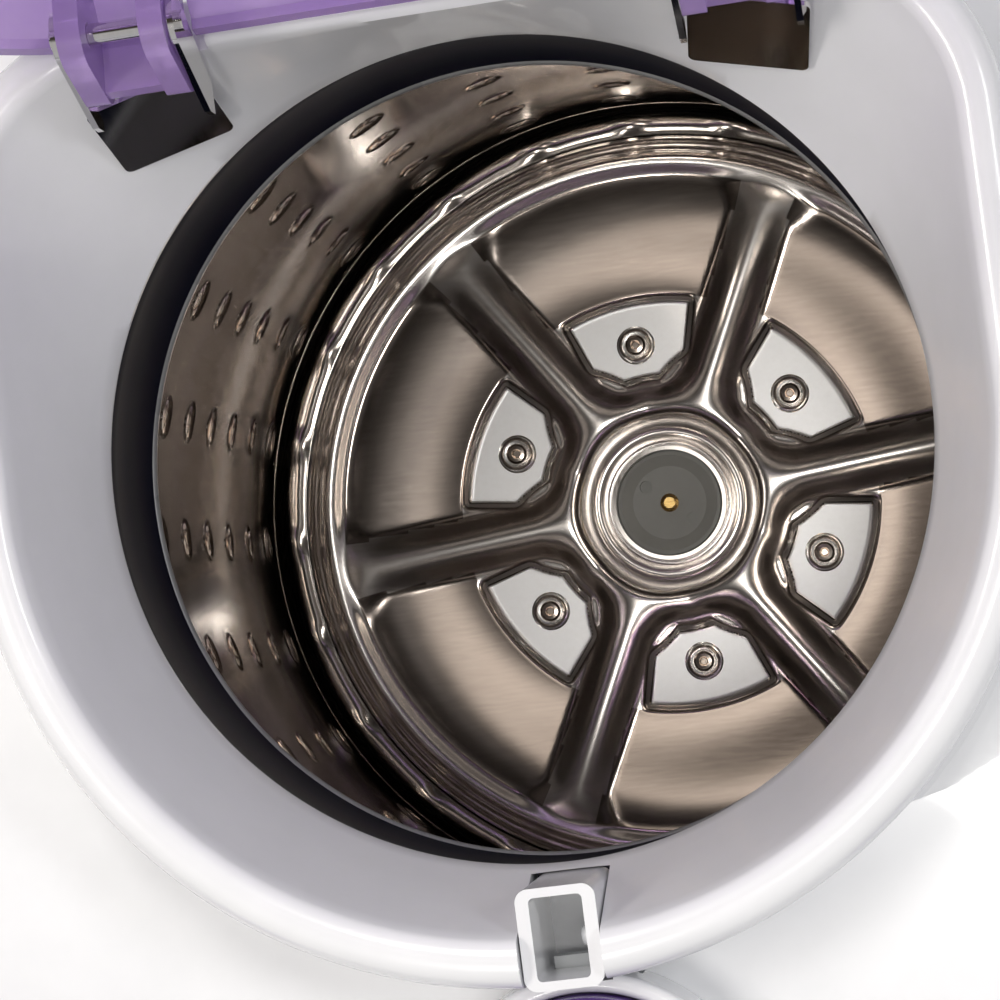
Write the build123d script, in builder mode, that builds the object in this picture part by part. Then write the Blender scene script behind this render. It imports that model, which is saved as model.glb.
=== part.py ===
"""Compact top-loading washing machine with a perforated spin drum, in millimetres, +Z up."""
from build123d import *
import os
from math import cos, radians, sin, sqrt

os.makedirs("parts", exist_ok=True)

# Cabinet
cabinet_width = 380
cabinet_corner = 62
cabinet_wall = 2.5
foot_height = 14
foot_spacing = 296
pan_top = 60
shell_bottom = 26
shell_top = 606
gap = 0.3

# Levels above the floor
pad_level = 225
mouth_level = pad_level + 394
crest_level = mouth_level + 39
deck_level = mouth_level + 11
deck_thickness = 3

# Loading mouth: a round opening inside a D-shaped rim
mouth_radius = 81.8
rim_radius = 102
rim_back = 90
rim_corner = 42
rim_wall = 3
rim_crown = 10
seam_radius = 312
seam_centre = 227

# Drum
drum_radius = 130
drum_wall_top = pad_level + 348
neck_radius = 84.5
neck_top = 610
bolt_circle = 105.8
spoke_count = 6
first_spoke = 64.8
first_bolt = 34.8

# Tub and drive
tub_radius = 145
tub_wall = 3
tub_floor = 186
shaft_radius = 8
pulley_radius = 60
motor_pulley_radius = 22
motor_distance = 105
pulley_level = 100
rod_spacing = 270

# Lid and hinge, with the lid standing open at rest
hinge_y = 82
hinge_z = 674
hinge_x = 56
lug_offset = 7.7
lug_width = 4.6
lid_open_angle = 102
lid_top = 694
lid_wall = 3
lid_skirt = 650

# Latch and release button
latch_x = 1
latch_y = -93
button_x = 1.5
button_y = -132
button_radius = 27
dial_x = 105
dial_y = -140


def rim_face(grow):
    """D-shaped face of the rim, grown outwards by an offset."""
    radius, back, corner = rim_radius + grow, rim_back + grow, rim_corner + grow
    side = radius - corner
    bend = corner * cos(radians(45))
    with BuildSketch() as face:
        with BuildLine():
            ThreePointArc((-radius, 0), (0, -radius), (radius, 0))
            Line((radius, 0), (radius, back - corner))
            ThreePointArc((radius, back - corner), (side + bend, back - corner + bend), (side, back))
            Line((side, back), (-side, back))
            ThreePointArc((-side, back), (-side - bend, back - corner + bend), (-radius, back - corner))
            Line((-radius, back - corner), (-radius, 0))
        make_face()
    return face.sketch


def mouth_face(radius):
    """Round face split into the same six edges as the rim, so that the two can be lofted."""
    def at(angle):
        return (radius * cos(radians(angle)), radius * sin(radians(angle)))

    with BuildSketch() as face:
        with BuildLine():
            for start, end in ((180, 360), (0, 25), (25, 58), (58, 122), (122, 155), (155, 180)):
                ThreePointArc(at(start), at((start + end) / 2), at(end))
        make_face()
    return face.sketch


def square_face(shrink):
    """Rounded-square outline of the cabinet, shrunk by an offset."""
    with BuildSketch() as face:
        side = cabinet_width - 2 * shrink
        RectangleRounded(side, side, cabinet_corner - shrink)
    return face.sketch


# Rubber feet
with BuildPart() as feet:
    with BuildSketch():
        with GridLocations(foot_spacing, foot_spacing, 2, 2):
            Circle(18)
    extrude(amount=foot_height, taper=4)
feet.part.label = "feet"
export_step(feet.part, "parts/feet.step")

# Base pan that carries the feet, the pump and the capacitor
spout_x, spout_level, spout_radius = 95, 42, 12
with BuildPart() as base_pan:
    with BuildSketch(Plane.XY.offset(foot_height)):
        add(square_face(cabinet_wall + gap))
    extrude(amount=pan_top - foot_height)
    with BuildSketch(Plane.XY.offset(foot_height + 3)):
        add(square_face(cabinet_wall + gap + 3))
    extrude(amount=pan_top, mode=Mode.SUBTRACT)
    with BuildSketch(Plane.XZ.offset(-cabinet_width / 2 - 5)):
        with Locations((spout_x, spout_level), (-spout_x, spout_level)):
            Circle(spout_radius + gap)
    extrude(amount=20, mode=Mode.SUBTRACT)
base_pan.part.label = "base_pan"
export_step(base_pan.part, "parts/base_pan.step")

# Cabinet shell, open at the bottom, at the top and at the rear service window
window_width, window_low, window_high = 220, 90, 390
screw_places = [(x, z) for x in (-114, 114) for z in (100, 240, 380)]
with BuildPart() as body_shell:
    with BuildSketch(Plane.XY.offset(shell_bottom)):
        add(square_face(0))
        add(square_face(cabinet_wall), mode=Mode.SUBTRACT)
    extrude(amount=shell_top - shell_bottom)
    with BuildSketch(Plane.XZ.offset(-cabinet_width / 2 - 5)):
        with Locations((0, (window_low + window_high) / 2)):
            RectangleRounded(window_width, window_high - window_low, 12)
        with Locations((spout_x, spout_level), (-spout_x, spout_level), (-spout_x, 560)):
            Circle(spout_radius + gap)
        with Locations(*screw_places):
            Circle(2.8)
    extrude(amount=20, mode=Mode.SUBTRACT)
body_shell.part.label = "body_shell"
export_step(body_shell.part, "parts/body_shell.step")

# Rear service cover behind the window, with its countersunk screws
with BuildPart() as rear_cover:
    with BuildSketch(Plane.XZ.offset(-cabinet_width / 2 + cabinet_wall + gap)):
        with Locations((0, (window_low + window_high) / 2)):
            RectangleRounded(window_width + 22, window_high - window_low + 12, 8)
        with Locations(*screw_places):
            Circle(1.9, mode=Mode.SUBTRACT)
    extrude(amount=1.5)
rear_cover.part.label = "rear_cover"
export_step(rear_cover.part, "parts/rear_cover.step")

with BuildPart() as rear_cover_screws:
    with BuildSketch(Plane.XZ.offset(-cabinet_width / 2 + 0.2)):
        with Locations(*screw_places):
            Circle(2.6)
    extrude(amount=cabinet_wall - 0.2)
    with BuildSketch(Plane.XZ.offset(-cabinet_width / 2 + cabinet_wall)):
        with Locations(*screw_places):
            Circle(1.8)
    extrude(amount=8)
rear_cover_screws.part.label = "rear_cover_screws"
export_step(rear_cover_screws.part, "parts/rear_cover_screws.step")

# Blank of the deck, which the seam divides into the top cover and the front panel
with BuildPart() as deck_blank:
    with BuildSketch(Plane.XY.offset(shell_top)):
        add(square_face(0))
    extrude(amount=deck_level - shell_top)
    fillet(deck_blank.faces().sort_by(Axis.Z)[-1].edges(), 14)
    with BuildSketch(Plane.XY.offset(shell_top)):
        add(square_face(deck_thickness))
    extrude(amount=deck_level - deck_thickness - shell_top - 10, mode=Mode.SUBTRACT)
    with BuildSketch(Plane.XY.offset(deck_level - deck_thickness - 10.5)):
        add(square_face(deck_thickness + 11))
    extrude(amount=10.5, mode=Mode.SUBTRACT)

# Top cover: rear deck, raised rim and the dish that guides laundry into the drum
socket_width, socket_length = 15, 19
with BuildPart() as top_cover:
    add(deck_blank.part)
    with BuildSketch(Plane.XY.offset(shell_top - 1)):
        with Locations((0, seam_centre)):
            Circle(seam_radius - gap)
    extrude(amount=60, mode=Mode.INTERSECT)
    with BuildSketch(Plane.XY.offset(deck_level - deck_thickness)):
        add(rim_face(0))
    extrude(amount=crest_level - deck_level + deck_thickness)
    fillet(top_cover.faces().sort_by(Axis.Z)[-1].edges(), 5)
    with BuildSketch(Plane.XY.offset(shell_top - 1)):
        add(rim_face(-rim_wall))
    extrude(amount=crest_level - rim_wall - shell_top + 1, mode=Mode.SUBTRACT)
    with BuildSketch(Plane.XY.offset(mouth_level - 2)):
        add(mouth_face(mouth_radius + rim_wall))
    with BuildSketch(Plane.XY.offset(crest_level - 2.5)):
        add(rim_face(rim_wall - rim_crown))
    loft(ruled=True)
    with BuildSketch(Plane.XY.offset(mouth_level - 2)):
        add(mouth_face(mouth_radius))
    with BuildSketch(Plane.XY.offset(crest_level + 1)):
        add(rim_face(1 - rim_crown))
    loft(ruled=True, mode=Mode.SUBTRACT)
    with BuildSketch(Plane.XY.offset(shell_top)):
        with Locations((latch_x, latch_y)):
            Rectangle(socket_width + 2 * gap, socket_length + 2 * gap)
    extrude(amount=60, mode=Mode.SUBTRACT)
    with BuildSketch(Plane.XY.offset(crest_level - 3.5)):
        with Locations((-hinge_x, rim_back), (hinge_x, rim_back)):
            Rectangle(24, 36)
    extrude(amount=10, mode=Mode.SUBTRACT)
top_cover.part.label = "top_cover"
export_step(top_cover.part, "parts/top_cover.step")

# Front panel with the button well and the dial shaft holes
web_level = 635.6
with BuildPart() as front_panel:
    add(deck_blank.part)
    with BuildSketch(Plane.XY.offset(shell_top - 1)):
        with Locations((0, seam_centre)):
            Circle(seam_radius)
        add(rim_face(2 * gap))
        with Locations((button_x, button_y)):
            Circle(button_radius + 0.6)
        with Locations((dial_x, dial_y), (-dial_x, dial_y)):
            Circle(3.6)
        with Locations((latch_x, latch_y)):
            Rectangle(socket_width + 2 * gap, socket_length + 2 * gap)
    extrude(amount=60, mode=Mode.SUBTRACT)
front_panel.part.label = "front_panel"
export_step(front_panel.part, "parts/front_panel.step")

# Latch socket: hollow post in the rim with windows for the hook and the interlock pin
hook_low, hook_high = deck_level + 0.4, 635
pin_y, pin_z, pin_radius = -94.5, 640, 2
with BuildPart() as latch_socket:
    with BuildSketch(Plane.XY.offset(620)):
        with Locations((latch_x, latch_y)):
            RectangleRounded(socket_width, socket_length, 2.5)
    extrude(amount=crest_level - 3.5 - 620)
    with BuildSketch(Plane.XY.offset(623)):
        with Locations((latch_x, latch_y)):
            RectangleRounded(10, 15.5, 1)
    extrude(amount=40, mode=Mode.SUBTRACT)
    with BuildSketch(Plane.XZ.offset(-latch_y)):
        with Locations((latch_x, (hook_low + hook_high) / 2)):
            Rectangle(8.6, hook_high - hook_low + 2 * gap)
    extrude(amount=20, mode=Mode.SUBTRACT)
    with BuildSketch(Plane.YZ.offset(latch_x)):
        with Locations((pin_y, pin_z)):
            Circle(pin_radius + gap)
    extrude(amount=20, mode=Mode.SUBTRACT)
latch_socket.part.label = "latch_socket"
export_step(latch_socket.part, "parts/latch_socket.step")

# Interlock pin with a domed tip, and the lid switch behind it
with BuildPart() as interlock_pin:
    with BuildSketch(Plane.YZ.offset(3.4)):
        with Locations((pin_y, pin_z)):
            Circle(pin_radius)
    extrude(amount=11)
    fillet(interlock_pin.faces().sort_by(Axis.X)[0].edges(), 1.2)
interlock_pin.part.label = "interlock_pin"
export_step(interlock_pin.part, "parts/interlock_pin.step")

with BuildPart() as lid_switch:
    with BuildSketch(Plane.XY.offset(pin_z - 6)):
        with Locations((21.8, -93.6)):
            Rectangle(6.6, 3.2)
    extrude(amount=11)
lid_switch.part.label = "lid_switch"
export_step(lid_switch.part, "parts/lid_switch.step")

# Raised collar around the release button, with the web that carries its spring
collar_top = 645
with BuildPart() as button_collar:
    with BuildSketch(Plane.XY.offset(deck_level)):
        with Locations((button_x, button_y)):
            Circle(button_radius + 4)
            Circle(button_radius + gap, mode=Mode.SUBTRACT)
    extrude(amount=collar_top - deck_level)
    fillet(button_collar.faces().sort_by(Axis.Z)[-1].edges(), 1.5)
    with BuildSketch(Plane.XY.offset(web_level)):
        with Locations((button_x, button_y)):
            Circle(button_radius + 1)
        with Locations((button_x, button_y + 1.5)):
            Rectangle(8.5, 17, mode=Mode.SUBTRACT)
    extrude(amount=1.5)
    with BuildSketch(Plane.XY.offset(deck_level - 1)):
        add(rim_face(2 * gap))
    extrude(amount=30, mode=Mode.SUBTRACT)
    with BuildSketch(Plane.XY.offset(hook_low - gap)):
        with Locations((latch_x, -110)):
            Rectangle(25, 20)
    extrude(amount=hook_high - hook_low + 2 * gap, mode=Mode.SUBTRACT)
    with BuildSketch(Plane.XY.offset(deck_level - 1)):
        with Locations((latch_x, latch_y)):
            Rectangle(socket_width + 2 * gap, socket_length + 2 * gap)
    extrude(amount=30, mode=Mode.SUBTRACT)
button_collar.part.label = "button_collar"
export_step(button_collar.part, "parts/button_collar.step")

# Domed release button with the wedge that drives the hook
wedge_low, wedge_y = 624, -127
button_under = 645
with BuildPart() as latch_button:
    with BuildSketch(Plane.XY.offset(641.5)):
        with Locations((button_x, button_y)):
            Circle(button_radius)
    extrude(amount=10.5)
    fillet(latch_button.faces().sort_by(Axis.Z)[-1].edges(), 5)
    with BuildSketch(Plane.XY.offset(641)):
        with Locations((button_x, button_y)):
            Circle(24)
    extrude(amount=button_under - 641, mode=Mode.SUBTRACT)
    with BuildSketch(Plane.YZ.offset(button_x - 3.5)):
        Polygon(
            (-123, button_under + 1),
            (-138, button_under + 1),
            (-138, wedge_low + 11),
            (wedge_y, wedge_low),
            (-123, wedge_low),
            align=None,
        )
    extrude(amount=7)
latch_button.part.label = "latch_button"
export_step(latch_button.part, "parts/latch_button.step")

with BuildPart() as button_spring:
    with BuildSketch(Plane.XY.offset(web_level + 1.5)):
        with Locations((button_x, button_y)):
            Circle(12)
            Circle(10.2, mode=Mode.SUBTRACT)
    extrude(amount=button_under - web_level - 1.5)
button_spring.part.label = "button_spring"
export_step(button_spring.part, "parts/button_spring.step")

# Latch hook: a plate that the wedge draws away from the socket
hook_tip = -98.4
with BuildPart() as latch_hook:
    with BuildSketch(Plane.XY.offset(hook_low)):
        with Locations((latch_x, (hook_tip - 108) / 2)):
            Rectangle(8, 108 + hook_tip)
        with Locations((latch_x, -127)):
            Rectangle(22, 38)
    extrude(amount=hook_high - hook_low)
    with BuildSketch(Plane.YZ.offset(button_x - 4.5)):
        Polygon(
            (-118, hook_low - 1),
            (-118, hook_high + 1),
            (wedge_y - 0.7 - (hook_high + 1 - wedge_low), hook_high + 1),
            (wedge_y - 0.7 - (hook_low - 1 - wedge_low), hook_low - 1),
            align=None,
        )
    extrude(amount=9, mode=Mode.SUBTRACT)
latch_hook.part.label = "latch_hook"
export_step(latch_hook.part, "parts/latch_hook.step")

# Lid, modelled closed and then turned open about the hinge pins
hinge_axis = Axis((0, hinge_y, hinge_z), (1, 0, 0))
lug_reach, lug_nose, lug_angle = 17, 4.5, 340
lug_web = 2 * lug_offset + lug_width + 2
back_skirt = 676
ear_thickness = 1.2
ear_offset = lug_offset + lug_width / 2 + gap
leaf_width = 2 * (ear_offset + ear_thickness)
with BuildPart() as lid_closed:
    with BuildSketch(Plane.XY.offset(lid_skirt)):
        add(rim_face(1 + lid_wall))
    extrude(amount=lid_top - lid_skirt)
    fillet(lid_closed.faces().sort_by(Axis.Z)[-1].edges(), 16)
    with BuildSketch(Plane.XY.offset(lid_skirt)):
        add(rim_face(1))
    extrude(amount=lid_top - lid_skirt - 16, mode=Mode.SUBTRACT)
    with BuildSketch(Plane.XY.offset(lid_top - 16.01)):
        add(rim_face(1))
    with BuildSketch(Plane.XY.offset(lid_top - lid_wall)):
        add(rim_face(-11))
    loft(ruled=True, mode=Mode.SUBTRACT)
    with BuildSketch(Plane.YZ.offset(-150)):
        Polygon((40, 640), (60, 666), (120, 666), (120, 640), align=None)
    extrude(amount=300, mode=Mode.SUBTRACT)
    # The back of the skirt ends high, apart from a web that carries each pair of lugs
    with BuildSketch(Plane.XY.offset(lid_skirt)):
        with Locations((0, 90)):
            Rectangle(300, 60)
        with Locations((-hinge_x, 90), (hinge_x, 90)):
            Rectangle(lug_web, 60, mode=Mode.SUBTRACT)
    extrude(amount=back_skirt - lid_skirt, mode=Mode.SUBTRACT)
    nose_distance = lug_reach - lug_nose
    nose = (
        hinge_y + nose_distance * cos(radians(lug_angle)),
        hinge_z + nose_distance * sin(radians(lug_angle)),
    )
    for side in (-1, 1):
        for lug in (-1, 1):
            with BuildSketch(Plane.YZ.offset(side * hinge_x + lug * lug_offset - lug_width / 2)):
                with Locations((hinge_y, hinge_z)):
                    Circle(7)
                with Locations(nose):
                    Circle(lug_nose)
                with Locations((hinge_y, hinge_z + 14)):
                    Rectangle(14, 8)
                make_hull()
                with Locations((hinge_y, hinge_z)):
                    Circle(2.05 + gap, mode=Mode.SUBTRACT)
            extrude(amount=lug_width)
            slot_x = side * hinge_x + lug * (ear_offset + ear_thickness / 2)
            with BuildSketch(Plane.YZ.offset(slot_x - ear_thickness / 2 - gap)):
                Polygon((86, 660), (100, 660), (100, 685), (86, 685), align=None)
            extrude(amount=ear_thickness + 2 * gap, mode=Mode.SUBTRACT)
with BuildPart() as lid:
    add(lid_closed.part.rotate(hinge_axis, -lid_open_angle))
lid.part.label = "lid"
export_step(lid.part, "parts/lid.step")

# Catch blade under the front of the lid, which enters the latch socket
with BuildPart() as catch_closed:
    with BuildSketch(Plane.YZ.offset(-3)):
        Polygon(
            (-102.8, 656.5),
            (-100.6, 656.5),
            (-95.8, 626.5),
            (-87.5, 626.5),
            (-87, 660.5),
            (-102.8, 660.5),
            align=None,
        )
    extrude(amount=7.6)
with BuildPart() as lid_catch:
    add(catch_closed.part.rotate(hinge_axis, -lid_open_angle))
lid_catch.part.label = "lid_catch"
export_step(lid_catch.part, "parts/lid_catch.step")

# Stainless hinge brackets: a leaf on the dish wall and two ears that hold the pin
leaf_turn, leaf_slope, leaf_length = 14, 67, 22
with BuildPart() as hinge_brackets:
    for side in (-1, 1):
        across = Vector(cos(radians(leaf_turn)), -side * sin(radians(leaf_turn)), 0)
        level = Vector(side * sin(radians(leaf_turn)), cos(radians(leaf_turn)), 0)
        slope = level * cos(radians(leaf_slope)) + Vector(0, 0, sin(radians(leaf_slope)))
        foot = Vector(side * hinge_x, 66.2, 634)
        leaf_plane = Plane(origin=foot + slope * (leaf_length / 2), x_dir=across, z_dir=across.cross(slope))
        with BuildSketch(leaf_plane):
            RectangleRounded(leaf_width, leaf_length, 1.5)
        extrude(amount=1)
        for ear in (-1, 1):
            low = side * hinge_x + ear * (ear_offset + ear_thickness / 2) - ear_thickness / 2
            with BuildSketch(Plane.YZ.offset(low)):
                with Locations((hinge_y, hinge_z)):
                    Circle(5)
                with Locations((71.2, 653.5)):
                    Rectangle(6, 4)
                make_hull()
                with Locations((hinge_y, hinge_z)):
                    Circle(2.0, mode=Mode.SUBTRACT)
            extrude(amount=ear_thickness)
hinge_brackets.part.label = "hinge_brackets"
export_step(hinge_brackets.part, "parts/hinge_brackets.step")

with BuildPart() as hinge_pins:
    for side in (-1, 1):
        with BuildSketch(Plane.YZ.offset(side * hinge_x - leaf_width / 2 - 1)):
            with Locations((hinge_y, hinge_z)):
                Circle(1.98)
        extrude(amount=leaf_width + 2)
hinge_pins.part.label = "hinge_pins"
export_step(hinge_pins.part, "parts/hinge_pins.step")

# Suspension: a frame under the deck, rods, cups and springs that carry the tub's ears
frame_level = 596
cup_level = 236
ear_level = 300
with BuildPart() as suspension_frame:
    with BuildSketch(Plane.XY.offset(frame_level)):
        add(square_face(cabinet_wall + gap))
        Circle(165, mode=Mode.SUBTRACT)
        with GridLocations(rod_spacing, rod_spacing, 2, 2):
            Circle(3.1, mode=Mode.SUBTRACT)
    extrude(amount=4)
suspension_frame.part.label = "suspension_frame"
export_step(suspension_frame.part, "parts/suspension_frame.step")

with BuildPart() as suspension_rods:
    with BuildSketch(Plane.XY.offset(cup_level - 8)):
        with GridLocations(rod_spacing, rod_spacing, 2, 2):
            Circle(3)
    extrude(amount=frame_level + 4 - cup_level + 8)
    with BuildSketch(Plane.XY.offset(frame_level + 4)):
        with GridLocations(rod_spacing, rod_spacing, 2, 2):
            Circle(6)
    extrude(amount=4)
suspension_rods.part.label = "suspension_rods"
export_step(suspension_rods.part, "parts/suspension_rods.step")

with BuildPart() as spring_cups:
    with BuildSketch(Plane.XY.offset(cup_level)):
        with GridLocations(rod_spacing, rod_spacing, 2, 2):
            Circle(14)
            Circle(3.05, mode=Mode.SUBTRACT)
    extrude(amount=6)
spring_cups.part.label = "spring_cups"
export_step(spring_cups.part, "parts/spring_cups.step")

with BuildPart() as suspension_springs:
    with BuildSketch(Plane.XY.offset(cup_level + 6)):
        with GridLocations(rod_spacing, rod_spacing, 2, 2):
            Circle(11)
            Circle(8, mode=Mode.SUBTRACT)
    extrude(amount=ear_level - cup_level - 6)
suspension_springs.part.label = "suspension_springs"
export_step(suspension_springs.part, "parts/suspension_springs.step")

# Outer tub with its four suspension ears and the sump nipple
tub_top = 576
hose_x, hose_y = 95, 60
with BuildPart() as tub:
    with BuildSketch(Plane.XZ):
        Polygon(
            (26, tub_floor),
            (120, tub_floor),
            (tub_radius + tub_wall, tub_floor + 26),
            (tub_radius + tub_wall, tub_top),
            (tub_radius, tub_top),
            (tub_radius, tub_floor + 28),
            (118, tub_floor + 4),
            (26, tub_floor + 4),
            align=None,
        )
    revolve(axis=Axis.Z)
    with BuildSketch(Plane.XY.offset(ear_level)):
        with GridLocations(rod_spacing, rod_spacing, 2, 2):
            Circle(15)
        for angle in (45, 135):
            Rectangle(2 * rod_spacing / sqrt(2), 30, rotation=angle)
        Circle(tub_radius + 1, mode=Mode.SUBTRACT)
        with GridLocations(rod_spacing, rod_spacing, 2, 2):
            Circle(5, mode=Mode.SUBTRACT)
    extrude(amount=6)
    with BuildSketch(Plane.XY.offset(tub_floor - 8)):
        with Locations((hose_x, hose_y)):
            Circle(12)
    extrude(amount=9)
    with BuildSketch(Plane.XY.offset(tub_floor - 9)):
        with Locations((hose_x, hose_y)):
            Circle(9)
    extrude(amount=20, mode=Mode.SUBTRACT)
tub.part.label = "tub"
export_step(tub.part, "parts/tub.step")

# Tub cover with the splash lip around the drum's neck
with BuildPart() as tub_cover:
    with BuildSketch(Plane.XZ):
        Polygon(
            (91, 604),
            (91, 582),
            (tub_radius + tub_wall + 0.3, 577),
            (tub_radius + tub_wall + 0.3, 562),
            (tub_radius + tub_wall + 2.3, 562),
            (tub_radius + tub_wall + 2.3, 580),
            (93, 585),
            (93, 604),
            align=None,
        )
    revolve(axis=Axis.Z)
tub_cover.part.label = "tub_cover"
export_step(tub_cover.part, "parts/tub_cover.step")

# Bearing housing under the tub, its two bearings and the shaft seal
with BuildPart() as bearing_housing:
    with BuildSketch(Plane.XZ):
        Polygon(
            (16.1, 136),
            (30, 136),
            (34, 176),
            (70, 180),
            (70, tub_floor),
            (25.8, tub_floor),
            (25.8, tub_floor + 3),
            (16.1, tub_floor + 3),
            align=None,
        )
    revolve(axis=Axis.Z)
bearing_housing.part.label = "bearing_housing"
export_step(bearing_housing.part, "parts/bearing_housing.step")

with BuildPart() as main_bearings:
    for low in (138, 168):
        with BuildSketch(Plane.XY.offset(low)):
            Circle(16.05)
            Circle(shaft_radius + 0.05, mode=Mode.SUBTRACT)
        extrude(amount=12)
main_bearings.part.label = "main_bearings"
export_step(main_bearings.part, "parts/main_bearings.step")

with BuildPart() as shaft_seal:
    with BuildSketch(Plane.XZ):
        Polygon(
            (shaft_radius + 0.05, 182),
            (16.05, 182),
            (16.05, 188.5),
            (11, 192),
            (shaft_radius + 0.05, 190),
            align=None,
        )
    revolve(axis=Axis.Z)
shaft_seal.part.label = "shaft_seal"
export_step(shaft_seal.part, "parts/shaft_seal.step")

# Drive shaft, hub spider and the pulley at its foot
with BuildPart() as drive_shaft:
    with BuildSketch(Plane.XY.offset(pulley_level - 8)):
        Circle(shaft_radius)
    extrude(amount=222 - pulley_level + 8)
    chamfer(drive_shaft.edges().filter_by(GeomType.CIRCLE), 1)
drive_shaft.part.label = "drive_shaft"
export_step(drive_shaft.part, "parts/drive_shaft.step")

floor_gauge = 0.8
spider_top = pad_level - floor_gauge
with BuildPart() as hub_spider:
    with BuildSketch(Plane.XZ):
        Polygon(
            (shaft_radius + 0.05, 197),
            (22, 197),
            (27, 208),
            (27, spider_top - 1),
            (16, spider_top - 1),
            (16, 223),
            (shaft_radius + 0.05, 223),
            align=None,
        )
    revolve(axis=Axis.Z)
    with BuildSketch(Plane.XY.offset(212)):
        with PolarLocations(44, spoke_count, start_angle=first_bolt):
            Rectangle(40, 17)
        with PolarLocations(bolt_circle / 2, spoke_count, start_angle=first_bolt):
            Circle(2.2, mode=Mode.SUBTRACT)
        Circle(24, mode=Mode.SUBTRACT)
    extrude(amount=spider_top - 212)
hub_spider.part.label = "hub_spider"
export_step(hub_spider.part, "parts/hub_spider.step")

with BuildPart() as drive_pulley:
    with BuildSketch(Plane.XZ):
        Polygon(
            (shaft_radius + 0.05, pulley_level),
            (pulley_radius + 4, pulley_level),
            (pulley_radius + 4, pulley_level + 1.5),
            (pulley_radius, pulley_level + 1.5),
            (pulley_radius, pulley_level + 10.5),
            (pulley_radius + 4, pulley_level + 10.5),
            (pulley_radius + 4, pulley_level + 12),
            (pulley_radius - 6, pulley_level + 12),
            (pulley_radius - 6, pulley_level + 4),
            (16, pulley_level + 4),
            (16, pulley_level + 18),
            (shaft_radius + 0.05, pulley_level + 18),
            align=None,
        )
    revolve(axis=Axis.Z)
    with BuildSketch(Plane.XY.offset(pulley_level)):
        with PolarLocations(35, 5):
            Circle(9)
    extrude(amount=12, mode=Mode.SUBTRACT)
drive_pulley.part.label = "drive_pulley"
export_step(drive_pulley.part, "parts/drive_pulley.step")

with BuildPart() as pulley_nut:
    with BuildSketch(Plane.XY.offset(pulley_level - 7)):
        RegularPolygon(13, 6)
        Circle(shaft_radius + 0.05, mode=Mode.SUBTRACT)
    extrude(amount=7)
pulley_nut.part.label = "pulley_nut"
export_step(pulley_nut.part, "parts/pulley_nut.step")

# Motor under the tub with its bracket, shaft, pulley and the belt
motor_low, motor_high = 118, 168
with BuildPart() as motor_bracket:
    with BuildSketch(Plane.XY.offset(motor_high)):
        with Locations((-motor_distance, 0)):
            Circle(46)
        with Locations((-70, 0)):
            Rectangle(50, 50)
        Circle(39, mode=Mode.SUBTRACT)
    extrude(amount=4)
    with BuildSketch(Plane.XY.offset(motor_high + 4)):
        with Locations((-78, 38), (-78, -38), (-130, 0)):
            Circle(6)
    extrude(amount=tub_floor - motor_high - 4)
motor_bracket.part.label = "motor_bracket"
export_step(motor_bracket.part, "parts/motor_bracket.step")

with BuildPart() as motor_housing:
    with BuildSketch(Plane.XY.offset(motor_low)):
        with Locations((-motor_distance, 0)):
            Circle(40)
    extrude(amount=motor_high - motor_low)
    fillet(motor_housing.edges().filter_by(GeomType.CIRCLE), 5)
    with BuildSketch(Plane.XY.offset(motor_low - 1)):
        with Locations((-motor_distance, 0)):
            Circle(5.1)
    extrude(amount=31, mode=Mode.SUBTRACT)
motor_housing.part.label = "motor_housing"
export_step(motor_housing.part, "parts/motor_housing.step")

with BuildPart() as motor_shaft:
    with BuildSketch(Plane.XY.offset(pulley_level - 4)):
        with Locations((-motor_distance, 0)):
            Circle(5)
    extrude(amount=motor_low + 28 - pulley_level + 4)
motor_shaft.part.label = "motor_shaft"
export_step(motor_shaft.part, "parts/motor_shaft.step")

with BuildPart() as motor_pulley:
    for low, height, radius in ((0, 1.5, 3), (1.5, 9, 0), (10.5, 1.5, 3)):
        with BuildSketch(Plane.XY.offset(pulley_level + low)):
            with Locations((-motor_distance, 0)):
                Circle(motor_pulley_radius + radius)
                Circle(5.05, mode=Mode.SUBTRACT)
        extrude(amount=height)
motor_pulley.part.label = "motor_pulley"
export_step(motor_pulley.part, "parts/motor_pulley.step")


def belt_face(grow):
    """Stadium round both pulleys, grown outwards by an offset."""
    with BuildSketch() as face:
        Circle(pulley_radius + grow)
        with Locations((-motor_distance, 0)):
            Circle(motor_pulley_radius + grow)
        make_hull()
    return face.sketch


with BuildPart() as drive_belt:
    with BuildSketch(Plane.XY.offset(pulley_level + 2)):
        add(belt_face(3))
        add(belt_face(gap), mode=Mode.SUBTRACT)
    extrude(amount=8)
drive_belt.part.label = "drive_belt"
export_step(drive_belt.part, "parts/drive_belt.step")

# Pressed drum floor with a hub ridge, six spokes and six bolted pads
floor_profile = [
    (19.3, pad_level + 1.2),
    (24, pad_level + 0.6),
    (28.5, pad_level + 4.3),
    (31.6, pad_level + 6),
    (35, pad_level + 4.5),
    (40, pad_level),
    (66, pad_level),
    (69, pad_level + 3),
    (108, pad_level + 5),
    (112, pad_level + 4),
    (120.5, pad_level + 4),
]
with BuildPart() as drum_floor:
    with BuildSketch(Plane.XZ):
        underside = [(r, z - floor_gauge) for r, z in reversed(floor_profile)]
        Polygon(*floor_profile, *underside, align=None)
    revolve(axis=Axis.Z)
    with BuildSketch(Plane.XY.offset(pad_level - 0.2)):
        with PolarLocations(72, spoke_count, start_angle=first_spoke):
            Rectangle(80, 12)
    extrude(amount=9, taper=25)
    with BuildSketch(Plane.XY.offset(pad_level - 5)):
        with PolarLocations(bolt_circle / 2, spoke_count, start_angle=first_bolt):
            Circle(2.2)
    extrude(amount=10, mode=Mode.SUBTRACT)
drum_floor.part.label = "drum_floor"
export_step(drum_floor.part, "parts/drum_floor.step")

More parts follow.
